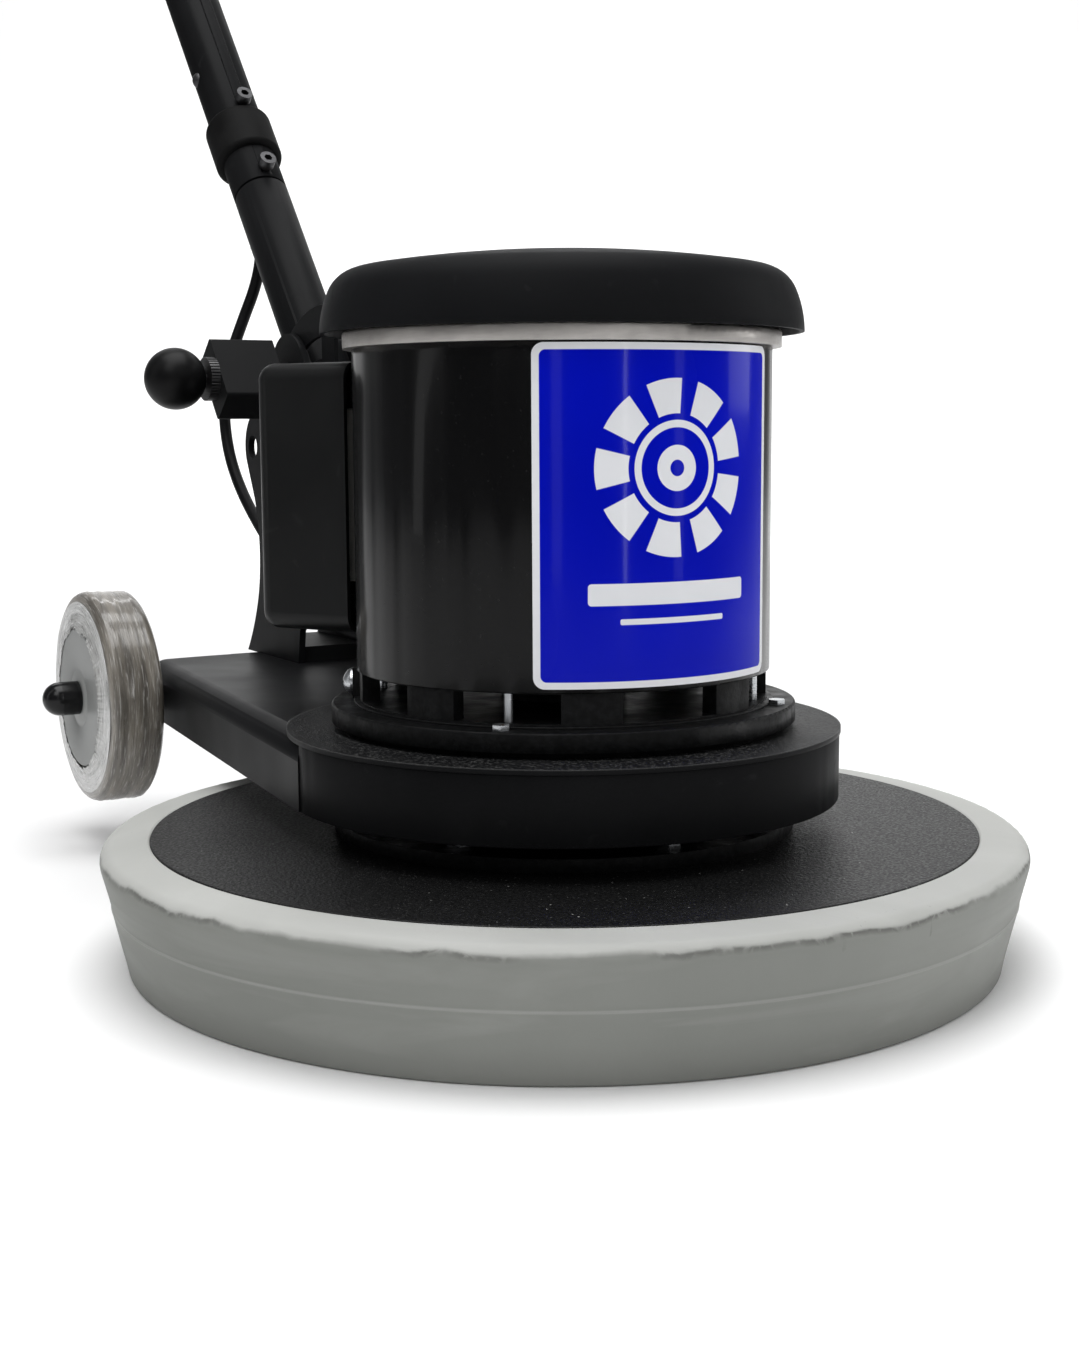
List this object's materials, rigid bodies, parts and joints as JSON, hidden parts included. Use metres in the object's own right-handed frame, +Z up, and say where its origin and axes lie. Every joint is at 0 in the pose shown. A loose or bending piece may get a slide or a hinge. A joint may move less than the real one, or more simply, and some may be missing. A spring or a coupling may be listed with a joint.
{
  "type": "concrete grinder",
  "caption": "Walk-behind single-disc floor grinder: upright motor on a round skirted deck, folding handle and two transport wheels.",
  "frame": {"origin": "on the floor under the motor's upright axis, where the grinding segments rest", "axes": "+Z up, +Y to the rear where the operator stands, -X to the side of the plunger knob"},
  "size_m": [0.559, 1.1855, 0.9951],
  "materials": {
    "black_powder": "fine-textured satin powder coat",
    "deck_black": "coarse black texture coat with bright specks",
    "bumper_grey": "light grey moulded rubber, scuffed",
    "gloss_black": "gloss black paint",
    "cast_black": "rough casting painted black",
    "dome_plastic": "fine-grained matt black moulding",
    "box_plastic": "satin black moulding",
    "label_print": "printed film, blue with a white border",
    "raw_aluminium": "turned casting",
    "zinc": "bright zinc plate",
    "plain_steel": "machined steel",
    "gear_steel": "hardened and oiled",
    "laminations": "stacked sheet",
    "copper": "enamelled wire",
    "rubber_black": "matt",
    "knob_black": "satin phenolic",
    "tyre_grey": "grey-brown tyre",
    "hub_grey": "flat grey moulding",
    "lead_black": "cable sheath",
    "capacitor_white": "moulded case",
    "abrasive": "sintered metal with diamond grit",
    "switch_red": "moulded button"
  },
  "bodies": {
    "chassis": {"deck_pan": "deck_black", "bumper_ring": "bumper_grey", "gearbox_housing": "cast_black", "gearbox_lid": "cast_black", "ring_gear": "gear_steel", "bearings_and_seals": "plain_steel", "chassis_platform": "black_powder", "chassis_band": "black_powder", "chassis_bolts": "zinc", "motor_base": "cast_black", "ground_screw": "zinc", "motor_can": "gloss_black", "label_plate": "label_print", "end_shield": "raw_aluminium", "stator_core": "laminations", "stator_windings": "copper", "tie_rods": "zinc", "dome_cover": "dome_plastic", "capacitor_cover": "box_plastic", "capacitors": "capacitor_white", "can_gland": "rubber_black", "axle": "plain_steel", "axle_caps": "rubber_black", "handle_bracket": "black_powder", "pivot_bolt": "zinc", "plunger_block": "black_powder", "plunger_collar": "plain_steel", "plunger_spring": "plain_steel", "motor_lead": "lead_black"},
    "rotor": {"rotor_shaft": "plain_steel", "rotor_core": "laminations", "cooling_fan": "box_plastic", "sun_pinion": "gear_steel"},
    "tool": {"planet_carrier": "plain_steel", "hub_flange": "plain_steel", "drive_bolts": "zinc", "driver_plate": "plain_steel", "diamond_segments": "abrasive"},
    "planet_1": {"planet_gear_1": "gear_steel"},
    "planet_2": {"planet_gear_2": "gear_steel"},
    "planet_3": {"planet_gear_3": "gear_steel"},
    "wheel_left": {"tyre_left": "tyre_grey", "wheel_hub_left": "hub_grey"},
    "wheel_right": {"tyre_right": "tyre_grey", "wheel_hub_right": "hub_grey"},
    "handle": {"tilt_sectors": "black_powder", "lower_tube": "black_powder", "upper_tube": "black_powder", "tube_collar": "rubber_black", "tube_screws": "plain_steel", "hand_grips": "rubber_black", "switch_housing": "box_plastic", "switch_unit": "box_plastic", "trigger_hinges": "zinc", "handle_glands": "rubber_black"},
    "plunger": {"plunger_pin": "plain_steel", "ball_knob": "knob_black"},
    "trigger_left": {"trigger_left": "knob_black"},
    "trigger_right": {"trigger_right": "knob_black"},
    "safety_button": {"safety_button": "switch_red"}
  },
  "joints": [
    {"name": "tool_spin", "type": "hinge", "parent": "chassis", "child": "tool", "pos_m": [0, 0, 0], "axis": [0, 0, 1], "continuous": true},
    {"name": "rotor_spin", "type": "hinge", "parent": "chassis", "child": "rotor", "pos_m": [0, 0, 0.2], "axis": [0, 0, 1], "continuous": true},
    {"name": "planet_1_spin", "type": "hinge", "parent": "tool", "child": "planet_1", "pos_m": [0.036, 0, 0.114], "axis": [0, 0, 1], "continuous": true},
    {"name": "planet_2_spin", "type": "hinge", "parent": "tool", "child": "planet_2", "pos_m": [-0.018, 0.03118, 0.114], "axis": [0, 0, 1], "continuous": true},
    {"name": "planet_3_spin", "type": "hinge", "parent": "tool", "child": "planet_3", "pos_m": [-0.018, -0.03118, 0.114], "axis": [0, 0, 1], "continuous": true},
    {"name": "wheel_left_spin", "type": "hinge", "parent": "chassis", "child": "wheel_left", "pos_m": [-0.159, 0.42, 0.115], "axis": [1, 0, 0], "continuous": true},
    {"name": "wheel_right_spin", "type": "hinge", "parent": "chassis", "child": "wheel_right", "pos_m": [0.159, 0.42, 0.115], "axis": [1, 0, 0], "continuous": true},
    {"name": "handle_tilt", "type": "hinge", "parent": "chassis", "child": "handle", "pos_m": [0, 0.3036, 0.288], "axis": [1, 0, 0], "range_deg": [-34, 28], "deforming": ["motor_lead"]},
    {"name": "plunger_pull", "type": "slide", "parent": "chassis", "child": "plunger", "axis": [-1, 0, 0], "range_m": [0, 0.01], "stiffness_N_per_m": 600, "springref_m": -0.004, "deforming": ["plunger_spring"]},
    {"name": "trigger_left_squeeze", "type": "hinge", "parent": "handle", "child": "trigger_left", "pos_m": [-0.084, 0.82856, 0.91141], "axis": [0, 0.7649, -0.6441], "range_deg": [0, 9], "stiffness_Nm_per_rad": 0.8, "springref_deg": -20.05},
    {"name": "trigger_right_squeeze", "type": "hinge", "parent": "handle", "child": "trigger_right", "pos_m": [0.084, 0.82856, 0.91141], "axis": [0, -0.7649, 0.6441], "range_deg": [0, 9], "stiffness_Nm_per_rad": 0.8, "springref_deg": -20.05},
    {"name": "button_press", "type": "slide", "parent": "handle", "child": "safety_button", "axis": [0, -0.6441, -0.7649], "range_m": [0, 0.004], "stiffness_N_per_m": 250, "springref_m": -0.003}
  ],
  "couplings": [
    {"joint": "rotor_spin", "follows": "tool_spin", "ratio": 6},
    {"joint": "planet_1_spin", "follows": "tool_spin", "ratio": -2.5},
    {"joint": "planet_2_spin", "follows": "tool_spin", "ratio": -2.5},
    {"joint": "planet_3_spin", "follows": "tool_spin", "ratio": -2.5}
  ]
}
